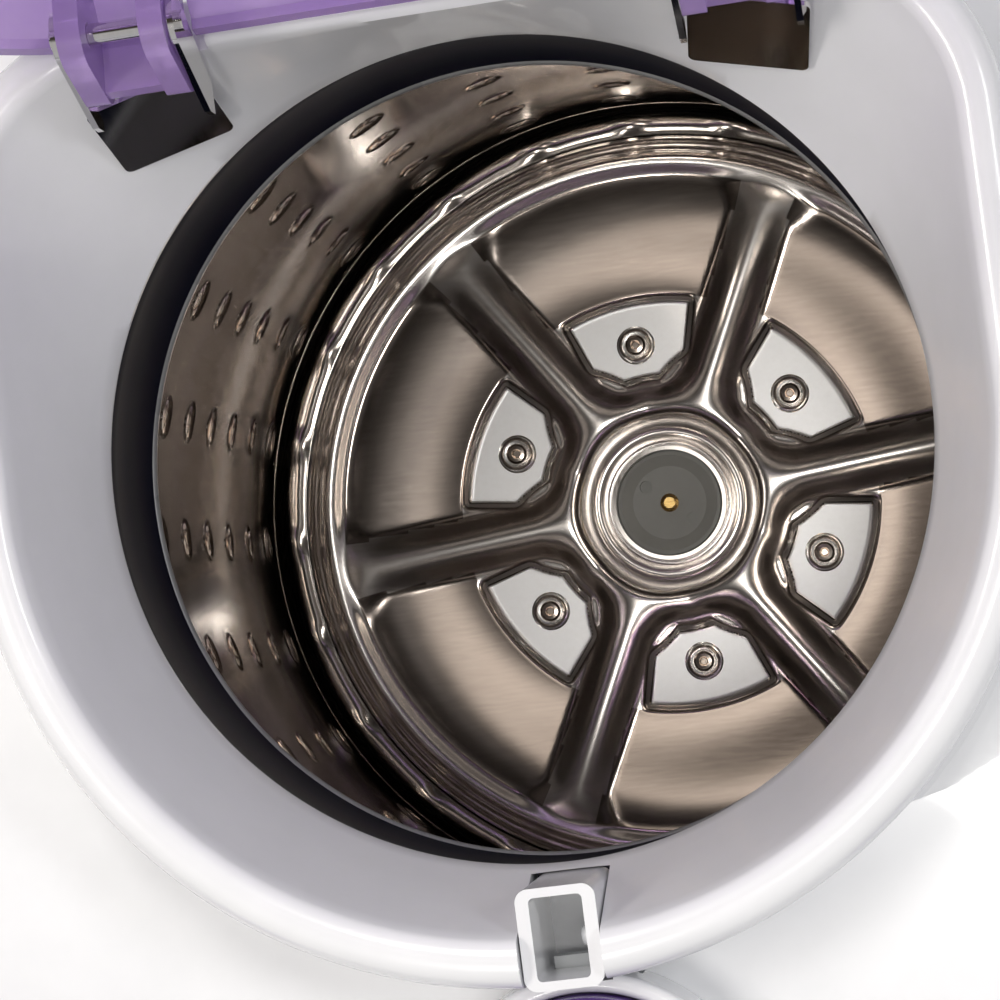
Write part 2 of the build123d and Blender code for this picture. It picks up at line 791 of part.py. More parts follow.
# Drum wall, curved in at its foot
with BuildPart() as drum_wall:
    with BuildSketch(Plane.XZ):
        Polygon(
            (121.2, 221),
            (125, 221.5),
            (128.6, 225),
            (drum_radius, 234),
            (drum_radius, drum_wall_top),
            (drum_radius + 1, drum_wall_top),
            (drum_radius + 1, 233.6),
            (129.5, 224.4),
            (125.4, 220.5),
            (121.2, 220),
            align=None,
        )
    revolve(axis=Axis.Z)
drum_wall.part.label = "drum_wall"
export_step(drum_wall.part, "parts/drum_wall.step")

# Liquid-filled balance ring and the glossy neck above it
ring_low = 540
with BuildPart() as balance_ring:
    with BuildSketch(Plane.XZ):
        Polygon(
            (neck_radius + 1, 574),
            (neck_radius + 1, 572.5),
            (100, 560),
            (107, ring_low),
            (drum_radius - gap, ring_low),
            (drum_radius - gap, 571),
            (126, 574),
            align=None,
        )
    revolve(axis=Axis.Z)
balance_ring.part.label = "balance_ring"
export_step(balance_ring.part, "parts/balance_ring.step")

with BuildPart() as drum_neck:
    with BuildSketch(Plane.XZ):
        with BuildLine():
            Polyline((neck_radius - 0.7, 574), (neck_radius - 0.7, 576.5), (neck_radius, 578))
            ThreePointArc((neck_radius, 578), (neck_radius + 1, 594), (neck_radius, neck_top))
            Polyline((neck_radius, neck_top), (neck_radius + 3, neck_top), (neck_radius + 3.6, 594))
            Polyline((neck_radius + 3.6, 594), (neck_radius + 3, 577), (96, 576), (96, 574))
            Line((96, 574), (neck_radius - 0.7, 574))
        make_face()
    revolve(axis=Axis.Z)
drum_neck.part.label = "drum_neck"
export_step(drum_neck.part, "parts/drum_neck.step")

# Hub trim: polished ring, cap with two spanner holes and its brass screw
with BuildPart() as hub_ring:
    with BuildSketch(Plane.XZ):
        Polygon(
            (17, spider_top - 0.9),
            (19.1, spider_top - 0.9),
            (19.1, 226.6),
            (18.6, 228.4),
            (17.4, 228.4),
            (17, 227.4),
            align=None,
        )
    revolve(axis=Axis.Z)
hub_ring.part.label = "hub_ring"
export_step(hub_ring.part, "parts/hub_ring.step")

spanner_angle = 139
with BuildPart() as hub_cap:
    with BuildSketch(Plane.XZ):
        Polygon(
            (2.2, spider_top - 0.9),
            (16.8, spider_top - 0.9),
            (16.8, 227.2),
            (15.6, 227.4),
            (12, 226),
            (2.2, 225.6),
            align=None,
        )
    revolve(axis=Axis.Z)
    with BuildSketch(Plane.XY.offset(223.8)):
        with PolarLocations(9.2, 2, start_angle=spanner_angle):
            Circle(2.1)
    extrude(amount=6, mode=Mode.SUBTRACT)
hub_cap.part.label = "hub_cap"
export_step(hub_cap.part, "parts/hub_cap.step")

with BuildPart() as centre_screw:
    with BuildSketch(Plane.XZ):
        Polygon(
            (0, 223.5),
            (2.1, 223.5),
            (2.1, 225.7),
            (3, 225.7),
            (3, 226.6),
            (1.8, 227.2),
            (0, 227.2),
            align=None,
        )
    revolve(axis=Axis.Z)
centre_screw.part.label = "centre_screw"
export_step(centre_screw.part, "parts/centre_screw.step")

# Bolts that hold the pads to the spider's arms
with BuildPart() as bolt_blank:
    with BuildSketch(Plane.XZ):
        Polygon(
            (0, pad_level - 12),
            (2.15, pad_level - 12),
            (2.15, pad_level + 0.02),
            (5.6, pad_level + 0.02),
            (5.6, pad_level + 1),
            (4.6, pad_level + 1.3),
            (3.4, pad_level + 1.2),
            (2.3, pad_level + 2.6),
            (0, pad_level + 3),
            align=None,
        )
    revolve(axis=Axis.Z)
with BuildPart() as floor_bolts:
    with PolarLocations(bolt_circle / 2, spoke_count, start_angle=first_bolt):
        add(bolt_blank.part)
floor_bolts.part.label = "floor_bolts"
export_step(floor_bolts.part, "parts/floor_bolts.step")

# Drain: pump on the base pan, hose from the sump and the spout at the rear
pump_top = 78
with BuildPart() as drain_pump:
    with BuildSketch(Plane.XY.offset(foot_height + 3)):
        with Locations((hose_x, hose_y)):
            Circle(28)
    extrude(amount=46)
    fillet(drain_pump.faces().sort_by(Axis.Z)[-1].edges(), 4)
    with BuildSketch(Plane.XY.offset(62)):
        with Locations((hose_x, hose_y)):
            Circle(11)
    extrude(amount=pump_top - 62)
drain_pump.part.label = "drain_pump"
export_step(drain_pump.part, "parts/drain_pump.step")

with BuildPart() as drain_hose:
    with BuildSketch(Plane.XY.offset(pump_top)):
        with Locations((hose_x, hose_y)):
            Circle(12)
            Circle(9, mode=Mode.SUBTRACT)
    extrude(amount=tub_floor - 8 - pump_top)
drain_hose.part.label = "drain_hose"
export_step(drain_hose.part, "parts/drain_hose.step")

with BuildPart() as drain_spout:
    with BuildSketch(Plane.XZ.offset(-hose_y - 27)):
        with Locations((spout_x, spout_level)):
            Circle(spout_radius)
    extrude(amount=-(cabinet_width / 2 - 0.5 - hose_y - 27))
    with BuildSketch(Plane.XZ.offset(-cabinet_width / 2 + 20.5)):
        with Locations((spout_x, spout_level)):
            Circle(9.5)
    extrude(amount=-25, mode=Mode.SUBTRACT)
    with BuildSketch(Plane.XY.offset(0)):
        with Locations((hose_x, hose_y)):
            Circle(28.05)
    extrude(amount=80, mode=Mode.SUBTRACT)
drain_spout.part.label = "drain_spout"
export_step(drain_spout.part, "parts/drain_spout.step")

# Water inlet: valve, threaded-hose spigot bore and a nozzle over the tub
with BuildPart() as inlet_valve:
    with BuildSketch(Plane.XZ.offset(-cabinet_width / 2 + 0.5)):
        with Locations((-spout_x, 560)):
            Circle(spout_radius)
    extrude(amount=14)
    with BuildSketch(Plane.XY.offset(546)):
        with Locations((-spout_x - 4, 167)):
            Rectangle(32, 18)
    extrude(amount=28)
    with BuildSketch(Plane.XZ.offset(-cabinet_width / 2 + 16.5)):
        with Locations((-spout_x, 560)):
            Circle(8)
    extrude(amount=-20, mode=Mode.SUBTRACT)
inlet_valve.part.label = "inlet_valve"
export_step(inlet_valve.part, "parts/inlet_valve.step")

# Gland where a supply lead would enter, and the motor's run capacitor
with BuildPart() as cord_gland:
    with BuildSketch(Plane.XZ.offset(-cabinet_width / 2 + 0.5)):
        with Locations((-spout_x, spout_level)):
            Circle(spout_radius)
            Circle(4, mode=Mode.SUBTRACT)
    extrude(amount=12)
cord_gland.part.label = "cord_gland"
export_step(cord_gland.part, "parts/cord_gland.step")

with BuildPart() as capacitor:
    with BuildSketch(Plane.XY.offset(foot_height + 3)):
        with Locations((-125, -95)):
            Circle(17)
    extrude(amount=52)
    fillet(capacitor.faces().sort_by(Axis.Z)[-1].edges(), 3)
capacitor.part.label = "capacitor"
export_step(capacitor.part, "parts/capacitor.step")

# Timer and selector: a switch under the deck and a dial above it on each side
switch_high = deck_level - deck_thickness - gap
for side, name in ((1, "timer"), (-1, "selector")):
    with BuildPart() as control_switch:
        with BuildSketch(Plane.XY.offset(switch_high - 20)):
            with Locations((side * dial_x, dial_y)):
                RectangleRounded(40, 40, 4)
                Circle(3.4, mode=Mode.SUBTRACT)
        extrude(amount=20)
    control_switch.part.label = name + "_switch"
    export_step(control_switch.part, f"parts/{name}_switch.step")

    with BuildPart() as dial:
        with BuildSketch(Plane.XY.offset(deck_level + gap)):
            with Locations((side * dial_x, dial_y)):
                Circle(20)
        extrude(amount=5, taper=10)
        with BuildSketch(Plane.XY.offset(deck_level + gap + 5)):
            with Locations((side * dial_x, dial_y)):
                Circle(14)
        extrude(amount=11, taper=6)
        fillet(dial.faces().sort_by(Axis.Z)[-1].edges(), 2)
        with BuildSketch(Plane.XY.offset(switch_high - 16)):
            with Locations((side * dial_x, dial_y)):
                Circle(3.1)
        extrude(amount=deck_level + 1 - switch_high + 16)
        with BuildSketch(Plane.XY.offset(deck_level + gap + 15)):
            with Locations((side * dial_x, dial_y + 8)):
                Rectangle(1.6, 9)
        extrude(amount=3, mode=Mode.SUBTRACT)
    dial.part.label = name + "_dial"
    export_step(dial.part, f"parts/{name}_dial.step")
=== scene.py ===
import bmesh
import bpy
from math import atan2, cos, degrees, hypot, pi, radians, sin, sqrt
from mathutils import Matrix, Vector


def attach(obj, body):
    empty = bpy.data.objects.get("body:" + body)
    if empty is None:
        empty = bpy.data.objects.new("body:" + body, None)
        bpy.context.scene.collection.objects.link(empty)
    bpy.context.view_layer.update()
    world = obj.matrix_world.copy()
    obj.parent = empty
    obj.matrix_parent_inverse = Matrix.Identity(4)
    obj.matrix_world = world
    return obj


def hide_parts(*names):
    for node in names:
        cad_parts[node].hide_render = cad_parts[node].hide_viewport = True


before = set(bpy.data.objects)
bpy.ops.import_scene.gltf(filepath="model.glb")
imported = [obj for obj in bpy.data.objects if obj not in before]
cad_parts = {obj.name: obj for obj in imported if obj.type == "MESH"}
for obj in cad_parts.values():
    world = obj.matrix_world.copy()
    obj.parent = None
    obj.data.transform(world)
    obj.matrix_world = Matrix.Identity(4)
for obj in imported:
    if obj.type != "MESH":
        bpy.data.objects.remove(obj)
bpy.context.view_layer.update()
mm = 0.001
print("frame loaded")

# levels and radii of the machine, in millimetres
machine = {
    "pad": 225.0,
    "mouth": 619.0,
    "drumRadius": 130.0,
    "boltCircle": 52.9,
    "firstBolt": 34.8,
    "spokes": 6,
}


# helpers for shader nodes
def newGroup(name, inputs, outputs):
    group = bpy.data.node_groups.new(name, "ShaderNodeTree")
    for label, value in inputs.items():
        kind = "NodeSocketVector" if isinstance(value, tuple) else "NodeSocketFloat"
        group.interface.new_socket(label, in_out="INPUT", socket_type=kind).default_value = value
    for label, kind in outputs.items():
        group.interface.new_socket(label, in_out="OUTPUT", socket_type=kind)
    return group, group.nodes.new("NodeGroupInput").outputs, group.nodes.new("NodeGroupOutput").inputs


def calc(tree, kind, *values):
    node = tree.nodes.new("ShaderNodeMath")
    node.operation = kind
    for socket, value in zip(node.inputs, values):
        if isinstance(value, (int, float)):
            socket.default_value = value
        else:
            tree.links.new(value, socket)
    return node.outputs[0]


def noise(tree, vector, scale, detail=2.0, rough=0.5):
    node = tree.nodes.new("ShaderNodeTexNoise")
    for label, value in (("Scale", scale), ("Detail", detail), ("Roughness", rough)):
        if isinstance(value, (int, float)):
            node.inputs[label].default_value = value
        else:
            tree.links.new(value, node.inputs[label])
    tree.links.new(vector, node.inputs["Vector"])
    return node.outputs["Fac"]


def stretch(tree, vector, scale):
    node = tree.nodes.new("ShaderNodeVectorMath")
    node.operation = "MULTIPLY"
    tree.links.new(vector, node.inputs[0])
    if isinstance(scale, tuple):
        node.inputs[1].default_value = scale
    else:
        tree.links.new(scale, node.inputs[1])
    return node.outputs[0]


def spread(tree, value, low, high):
    node = tree.nodes.new("ShaderNodeMapRange")
    tree.links.new(value, node.inputs["Value"])
    node.inputs["To Min"].default_value = low
    node.inputs["To Max"].default_value = high
    return node.outputs["Result"]


def blend(tree, first, second, share):
    return calc(tree, "ADD", calc(tree, "MULTIPLY", first, share), calc(tree, "MULTIPLY", second, 1 - share))


# noise settings, as scale, detail and roughness, and how much of the first noise each blend takes
texture = {
    "grainLines": (3.0, 0.6),
    "grainCloud": (18.0, 3.0, 0.5),
    "grainLineShare": 0.6,
    "mouldFine": (2.0, 0.5),
    "mouldWave": (14.0, 2.0, 0.4),
    "mouldFineShare": 0.25,
    "mouldMarks": (45.0, 4.0, 0.6),
    "darkAt": 0.3,
    "lightAt": 0.7,
}

# grain: fine lines along one direction, as a mask and a height
grain, grainIn, grainOut = newGroup(
    "sheetGrain", {"Vector": (0.0, 0.0, 0.0), "Stretch": (1.0, 1.0, 1.0), "Fineness": 600.0},
    {"Mask": "NodeSocketFloat", "Height": "NodeSocketFloat"})
grainStretched = stretch(grain, grainIn["Vector"], grainIn["Stretch"])
grainLines = noise(grain, grainStretched, grainIn["Fineness"], *texture["grainLines"])
grainCloud = noise(grain, grainIn["Vector"], *texture["grainCloud"])
grainMask = blend(grain, grainLines, grainCloud, texture["grainLineShare"])
grain.links.new(grainMask, grainOut["Mask"])
grain.links.new(grainLines, grainOut["Height"])

# moulding: the faint waviness, fine texture and handling marks of moulded plastic
moulding, mouldIn, mouldOut = newGroup(
    "mouldedSkin", {"Vector": (0.0, 0.0, 0.0), "Texture Scale": 900.0},
    {"Mask": "NodeSocketFloat", "Height": "NodeSocketFloat"})
mouldFine = noise(moulding, mouldIn["Vector"], mouldIn["Texture Scale"], *texture["mouldFine"])
mouldWave = noise(moulding, mouldIn["Vector"], *texture["mouldWave"])
mouldHeight = blend(moulding, mouldFine, mouldWave, texture["mouldFineShare"])
mouldMarks = noise(moulding, mouldIn["Vector"], *texture["mouldMarks"])
moulding.links.new(mouldHeight, mouldOut["Height"])
moulding.links.new(mouldMarks, mouldOut["Mask"])


def finish(name, look):
    material = bpy.data.materials.new(name)
    material.use_nodes = True
    tree = material.node_tree
    shader = tree.nodes["Principled BSDF"]
    for label, value in look.get("plain", {}).items():
        shader.inputs[label].default_value = value
    place = tree.nodes.new("ShaderNodeTexCoord").outputs["Object"]
    group = tree.nodes.new("ShaderNodeGroup")
    group.node_tree = grain if look["kind"] == "metal" else moulding
    tree.links.new(place, group.inputs["Vector"])
    for label, value in look.get("group", {}).items():
        group.inputs[label].default_value = value
    mask = group.outputs["Mask"]
    ramp = tree.nodes.new("ShaderNodeValToRGB")
    tree.links.new(mask, ramp.inputs["Fac"])
    for stop, at, colour in zip(ramp.color_ramp.elements, ("darkAt", "lightAt"), ("dark", "light")):
        stop.position = texture[at]
        stop.color = (*look[colour], 1)
    tree.links.new(ramp.outputs["Color"], shader.inputs["Base Color"])
    tree.links.new(spread(tree, mask, *look["rough"]), shader.inputs["Roughness"])
    bump = tree.nodes.new("ShaderNodeBump")
    bump.inputs["Strength"].default_value = look["bump"][0]
    bump.inputs["Distance"].default_value = look["bump"][1] * mm
    tree.links.new(group.outputs["Height"], bump.inputs["Height"])
    tree.links.new(bump.outputs["Normal"], shader.inputs["Normal"])
    return material


def metalLook(dark, light, rough, bump=(0.15, 0.05), stretchBy=(0.03, 1.0, 1.0), fineness=900.0, **plain):
    return {"kind": "metal", "dark": dark, "light": light, "rough": rough, "bump": bump,
            "group": {"Stretch": stretchBy, "Fineness": fineness}, "plain": {"Metallic": 1.0} | plain}


def plasticLook(dark, light, rough, bump=(0.1, 0.05), fineness=900.0, **plain):
    return {"kind": "plastic", "dark": dark, "light": light, "rough": rough, "bump": bump,
            "group": {"Texture Scale": fineness}, "plain": plain}


looks = {
    # floor pans: the same stainless sheet as the spokes, given a darker brownish base colour as painted shade
    "panSteelPaintedShade": metalLook((0.36, 0.305, 0.27), (0.46, 0.40, 0.355), (0.10, 0.15), (0.06, 0.02),
                          (0.12, 1.0, 1.0)),
    # floor spokes, hub ridge and rim: the same sheet, given a lighter base colour as painted highlight
    "ribSteelPaintedHighlight": metalLook((0.76, 0.71, 0.67), (0.86, 0.82, 0.78), (0.17, 0.25), (0.04, 0.02)),
    # coined pads: the rougher satin finish is real; the near-white base colour, brighter than steel, is
    # painted light
    "padSteelPaintedLight": metalLook((0.92, 0.91, 0.90), (0.99, 0.985, 0.98), (0.34, 0.44), (0.25, 0.03),
                          (1.0, 1.0, 1.0), 500.0),
    "wallSteel": metalLook((0.60, 0.54, 0.49), (0.68, 0.62, 0.57), (0.09, 0.18), (0.06, 0.02),
                           (1.0, 1.0, 0.05)),
    "edgeSteel": metalLook((0.8, 0.79, 0.77), (0.9, 0.9, 0.88), (0.18, 0.3)),
    "mirrorSteel": metalLook((0.75, 0.74, 0.73), (0.85, 0.84, 0.83), (0.03, 0.12), (0.05, 0.02),
                             (1.0, 0.05, 0.05)),
    "boltSteel": metalLook((0.42, 0.36, 0.31), (0.55, 0.48, 0.42), (0.12, 0.25)),
    "zincSteel": metalLook((0.55, 0.56, 0.57), (0.68, 0.69, 0.7), (0.3, 0.5)),
    "castMetal": metalLook((0.5, 0.5, 0.51), (0.62, 0.62, 0.63), (0.45, 0.6), (0.3, 0.2),
                           (1.0, 1.0, 1.0), 700.0),
    "brass": metalLook((0.62, 0.40, 0.13), (0.85, 0.6, 0.25), (0.2, 0.35)),
    "whiteCover": plasticLook((0.80, 0.81, 0.83), (0.84, 0.85, 0.87), (0.16, 0.24), (0.04, 0.15),
                              **{"Coat Weight": 0.25}),
    "whiteShell": plasticLook((0.805, 0.815, 0.825), (0.82, 0.83, 0.84), (0.28, 0.33), (0.04, 0.1)),
    "lilacLid": plasticLook((0.62, 0.43, 0.86), (0.70, 0.52, 0.90), (0.12, 0.22), (0.03, 0.1),
                            **{"Transmission Weight": 0.55, "IOR": 1.49}),
    "purpleButton": plasticLook((0.10, 0.03, 0.26), (0.13, 0.045, 0.33), (0.18, 0.28), (0.04, 0.1),
                                **{"Coat Weight": 0.4}),
    "neckDark": plasticLook((0.004, 0.005, 0.013), (0.007, 0.008, 0.018), (0.3, 0.38), (0.03, 0.05),
                            **{"Specular IOR Level": 0.05}),
    "capGrey": plasticLook((0.60, 0.61, 0.57), (0.68, 0.69, 0.65), (0.35, 0.5), (0.15, 0.05)),
    "innerGrey": plasticLook((0.5, 0.52, 0.53), (0.58, 0.6, 0.61), (0.4, 0.55)),
    "blackPlastic": plasticLook((0.02, 0.02, 0.022), (0.04, 0.04, 0.043), (0.4, 0.6), (0.3, 0.1)),
    "lipGrey": plasticLook((0.2, 0.2, 0.2), (0.26, 0.26, 0.26), (0.2, 0.35)),
    "ground": plasticLook((0.74, 0.74, 0.75), (0.78, 0.78, 0.79), (0.6, 0.8)),
    "rubber": plasticLook((0.015, 0.015, 0.017), (0.03, 0.03, 0.032), (0.6, 0.8), (0.3, 0.1)),
    "motorPaint": plasticLook((0.03, 0.032, 0.035), (0.05, 0.052, 0.055), (0.35, 0.5), (0.2, 0.1)),
}
finishes = {name: finish(name, look) for name, look in looks.items()}
print("finishes made")

# the finish of every CAD node that stays
nodeFinish = {
    "rubber": ["feet", "shaft_seal", "drive_belt", "drain_hose"],
    "blackPlastic": ["base_pan", "lid_switch", "drain_pump", "drain_spout", "inlet_valve", "cord_gland",
                     "timer_switch", "selector_switch"],
    "whiteShell": ["body_shell"],
    "whiteCover": ["front_panel", "top_cover", "latch_socket", "interlock_pin", "button_collar", "lid_catch"],
    "zincSteel": ["rear_cover", "rear_cover_screws", "suspension_frame", "suspension_rods", "pulley_nut",
                  "motor_bracket", "motor_pulley", "button_spring", "suspension_springs"],
    "purpleButton": ["latch_button", "timer_dial", "selector_dial"],
    "innerGrey": ["latch_hook", "spring_cups", "tub", "tub_cover", "capacitor", "balance_ring"],
    "lilacLid": ["lid"],
    "mirrorSteel": ["hinge_brackets", "hinge_pins", "hub_ring", "main_bearings", "drive_shaft", "motor_shaft"],
    "castMetal": ["bearing_housing", "hub_spider", "drive_pulley"],
    "motorPaint": ["motor_housing"],
    "wallSteel": ["drum_wall", "drum_floor"],
    "neckDark": ["drum_neck"],
    "capGrey": ["hub_cap"],
    "brass": ["centre_screw"],
    "boltSteel": ["floor_bolts"],
}
for finishName, nodeNames in nodeFinish.items():
    for nodeName in nodeNames:
        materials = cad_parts[nodeName].data.materials
        materials.clear()
        materials.append(finishes[finishName])


# helpers for meshes, all lengths in millimetres until the piece is finished
def spun(profile, steps, closed=False):
    mesh = bmesh.new()
    line = [mesh.verts.new((radius, 0, height)) for radius, height in profile]
    pairs = list(zip(line, line[1:])) + ([(line[-1], line[0])] if closed else [])
    edges = [mesh.edges.new(pair) for pair in pairs]
    bmesh.ops.spin(mesh, geom=line + edges, cent=(0, 0, 0), axis=(0, 0, 1), dvec=(0, 0, 0),
                   angle=2 * pi, steps=steps, use_merge=True)
    bmesh.ops.remove_doubles(mesh, verts=mesh.verts, dist=0.001)
    bmesh.ops.recalc_face_normals(mesh, faces=mesh.faces)
    return mesh


def finished(name, mesh, body, finishNames, replaced=(), sharp=35):
    bmesh.ops.scale(mesh, vec=(mm, mm, mm), verts=mesh.verts)
    data = bpy.data.meshes.new(name)
    mesh.to_mesh(data)
    mesh.free()
    for finishName in finishNames:
        data.materials.append(finishes[finishName])
    for face in data.polygons:
        face.use_smooth = True
    if sharp:
        data.set_sharp_from_angle(angle=radians(sharp))
    piece = bpy.data.objects.new(name, data)
    bpy.context.scene.collection.objects.link(piece)
    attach(piece, body)
    if replaced:
        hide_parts(*replaced)
    return piece


def faceInwards(mesh):
    facing = sum((face.normal.x * centre.x + face.normal.y * centre.y)
                 for face in mesh.faces for centre in (face.calc_center_median(),))
    if facing > 0:
        bmesh.ops.reverse_faces(mesh, faces=mesh.faces)


def thicken(piece, gauge):
    thick = piece.modifiers.new("gauge", "SOLIDIFY")
    thick.thickness = gauge * mm
    thick.offset = -1


def ease(value):
    value = min(1.0, max(0.0, value))
    return value * value * (3 - 2 * value)


# pressed drum floor: six pans, coined pads and spokes round a hub ridge
floorShape = {
    "angularSteps": 480,
    "ridgeRadius": 31.6,
    "ridgeHeight": 6.5,
    "ridgeInside": 7.5,
    "ridgeOutside": 8.5,
    "padInside": 42.5,
    "padOutside": 65.8,
    "padHalfAngle": 17.5,
    "padStep": 2.4,
    "panLevel": 3.6,
    "panRise": 2.4,
    "spokeHeight": 8.0,
    "spokeHalf": 11.0,
    "rimCrest": 112.0,
    "panRiseFrom": 66.0,
    "panRiseOver": 42.0,
    "padWiden": 0.8,
    "padWidenFrom": 8.0,
    "padEdgeAngle": 2.2,
    "rimHeight": 2.2,
    "rimWidth": 5.5,
    "rimDrop": 5.0,
    "rimDropFrom": 1.0,
    "rimDropOver": 5.0,
    "beadRadius": 118.0,
    "beadWidth": 2.0,
    "beadHeight": 1.8,
    "hollowTop": 0.6,
    "hollowDepth": 1.4,
    "hollowOver": 8.0,
    "seatRise": 2.2,
    "seatRadius": 22.5,
    "seatOver": 3.2,
    "spokeWiden": (0.55, 44.0, 1.1, 98.0),
    "spokeStart": (27.0, 6.0),
    "spokeFade": (0.85, 104.0, 10.0),
    "rings": [(19.3, 1.3, 16), (40.0, 0.85, 36), (71.0, 2.2, 16), (106.2, 1.1, 14)],
    "padLevel": 0.25,
    "padRing": (40.0, 67.0),
    "panRing": (68.0, 107.0),
    "panSide": 9.0,
    "gauge": 0.8,
}


def boltOffset(x, y):
    pitch = 360 / machine["spokes"]
    return (degrees(atan2(y, x)) - machine["firstBolt"] + pitch / 2) % pitch - pitch / 2


def floorHeight(x, y):
    shape = floorShape
    radius, offset = hypot(x, y), abs(boltOffset(x, y))
    sideways = radius * sin(radians(180 / machine["spokes"] - offset))
    # pans, with the coined pads let into them
    rise = shape["panLevel"] + shape["panRise"] * ease((radius - shape["panRiseFrom"]) / shape["panRiseOver"])
    inside = shape["padInside"] + shape["padWiden"] * max(0.0, offset - shape["padWidenFrom"])
    pad = ease((radius - inside + shape["padStep"]) / shape["padStep"])
    pad *= ease((shape["padOutside"] + shape["padStep"] - radius) / shape["padStep"])
    pad *= ease((shape["padHalfAngle"] + shape["padEdgeAngle"] - offset) / shape["padEdgeAngle"])
    height = rise * (1 - pad)
    # outer rim: a low crest, then the edge that drops to the wall
    crest = max(0.0, 1 - ((radius - shape["rimCrest"]) / shape["rimWidth"]) ** 2)
    height += shape["rimHeight"] * crest * crest
    if radius > shape["rimCrest"]:
        past = radius - shape["rimCrest"] - shape["rimDropFrom"]
        height -= shape["rimDrop"] * ease(past / shape["rimDropOver"])
    bead = max(0.0, 1 - ((radius - shape["beadRadius"]) / shape["beadWidth"]) ** 2)
    height += shape["beadHeight"] * bead * bead
    # hub ridge and the hollow inside it
    if radius < shape["ridgeRadius"]:
        sink = shape["hollowDepth"] * ease((shape["ridgeRadius"] - radius) / shape["hollowOver"])
        seat = shape["seatRise"] * ease((shape["seatRadius"] - radius) / shape["seatOver"])
        height = shape["hollowTop"] - sink + seat
    width = shape["ridgeInside"] if radius < shape["ridgeRadius"] else shape["ridgeOutside"]
    ridge = max(0.0, 1 - ((radius - shape["ridgeRadius"]) / width) ** 2) ** 2
    height += (shape["ridgeHeight"] - height) * ridge
    # spokes, wider where they meet the ridge and the rim
    inwards, inner, outwards, outer = shape["spokeWiden"]
    half = shape["spokeHalf"] + inwards * max(0.0, inner - radius) + outwards * max(0.0, radius - outer)
    spoke = max(0.0, 1 - (sideways / half) ** 2) ** 2
    start, startOver = shape["spokeStart"]
    loss, fade, fadeOver = shape["spokeFade"]
    spoke *= ease((radius - start) / startOver) * (1 - loss * ease((radius - fade) / fadeOver))
    return height + max(0.0, shape["spokeHeight"] - height) * spoke


def makeFloor():
    shape = floorShape
    radii = [first + gap * step for first, gap, count in shape["rings"] for step in range(count)]
    mesh = spun([(radius, 0) for radius in radii], shape["angularSteps"])
    for vert in mesh.verts:
        vert.co.z = machine["pad"] + floorHeight(vert.co.x, vert.co.y)
    bmesh.ops.recalc_face_normals(mesh, faces=mesh.faces)
    if sum(face.normal.z for face in mesh.faces) < 0:
        bmesh.ops.reverse_faces(mesh, faces=mesh.faces)
    # each face gets its copy of the floor steel: pans painted darker as shade, pads painted near white as
    # light, spokes, ridge and rim painted lighter as highlight
    for face in mesh.faces:
        centre = face.calc_center_median()
        radius, offset = hypot(centre.x, centre.y), abs(boltOffset(centre.x, centre.y))
        sideways = radius * sin(radians(180 / machine["spokes"] - offset))
        level = centre.z - machine["pad"]
        if level < shape["padLevel"] and shape["padRing"][0] < radius < shape["padRing"][1]:
            face.material_index = 1
        elif shape["panRing"][0] < radius < shape["panRing"][1] and sideways > shape["panSide"]:
            face.material_index = 0
        else:
            face.material_index = 2
    piece = finished("drumFloor", mesh, "drum", ["panSteelPaintedShade", "padSteelPaintedLight", "ribSteelPaintedHighlight"], ["drum_floor"],
                     None)
    thicken(piece, shape["gauge"])


makeFloor()
print("drum floor made")

# dimpled drum wall: one cell repeated round and up the wall, between a curved foot and a plain top
wallShape = {
    "columns": 24,
    "rows": 11,
    "firstRow": 249.86,
    "rowPitch": 27.45,
    "phase": 88.8,
    "cellSteps": 16,
    "dimple": [(1.2, 1.8), (1.6, 1.4), (3.4, 1.25), (5.0, 0.9), (6.0, 0.35), (6.4, 0.0), (8.2, 0.0)],
    "top": 573.0,
    "footRadius": 8.8,
    "footSteps": 360,
    "footDrop": 3.8,
    "footBendSteps": 16,
    "footBendStep": 6.0,
    "footDimple": 0.6,
    "footDimpleTurn": 40.0,
    "footDimpleFlat": 3.2,
    "footDimpleOver": 3.6,
    "footDimpleReach": (2.0, 3.0),
    "gauge": 0.8,
}


